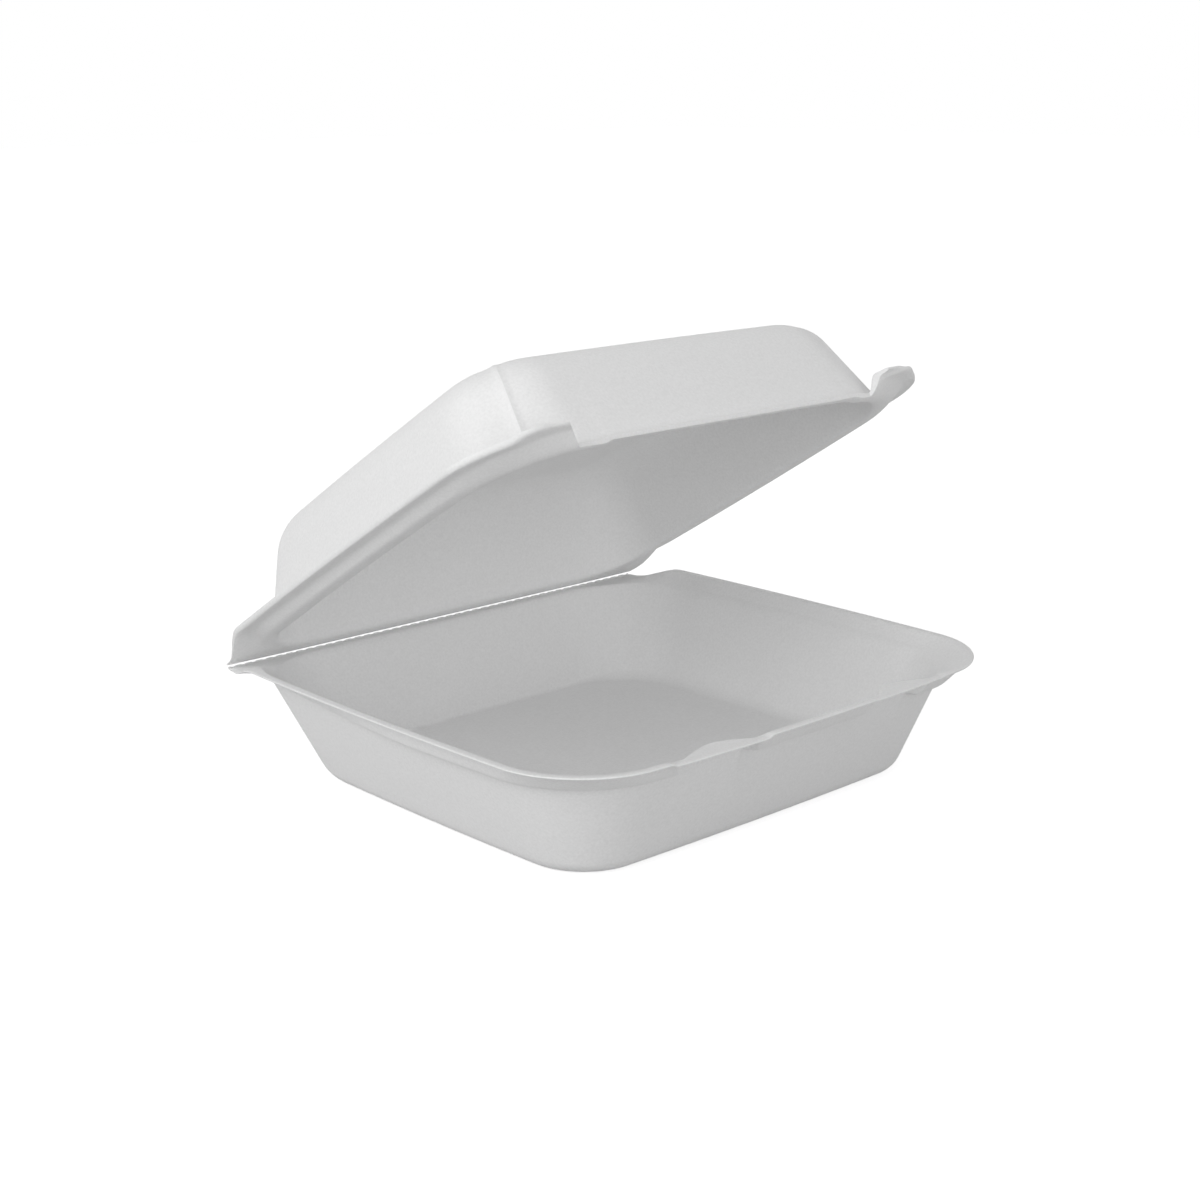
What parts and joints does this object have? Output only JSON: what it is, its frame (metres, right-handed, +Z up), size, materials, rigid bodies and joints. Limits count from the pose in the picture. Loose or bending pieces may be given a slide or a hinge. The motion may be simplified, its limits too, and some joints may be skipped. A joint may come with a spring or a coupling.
{
  "type": "foam clamshell container",
  "caption": "Hinged foam takeaway container: a tapered square tray with a flared rim and front catches, and a domed lid that plugs into the rim, joined along a perforated fold.",
  "frame": {"origin": "centre of the tray's footprint, on the surface it stands on", "axes": "+Z up; the fold runs along X at the back, at +Y; the catches face -Y"},
  "size_m": [0.2198, 0.2012, 0.1606],
  "materials": {
    "foam": "satin white polystyrene foam with a fine grain"
  },
  "bodies": {
    "tray": {"tray": "foam"},
    "lid": {"lid": "foam"}
  },
  "joints": [
    {"name": "lid_hinge", "type": "hinge", "parent": "tray", "child": "lid", "pos_m": [0, 0.09555, 0.0381], "axis": [-1, 0, 0], "range_deg": [-31.3, 148.7]}
  ]
}
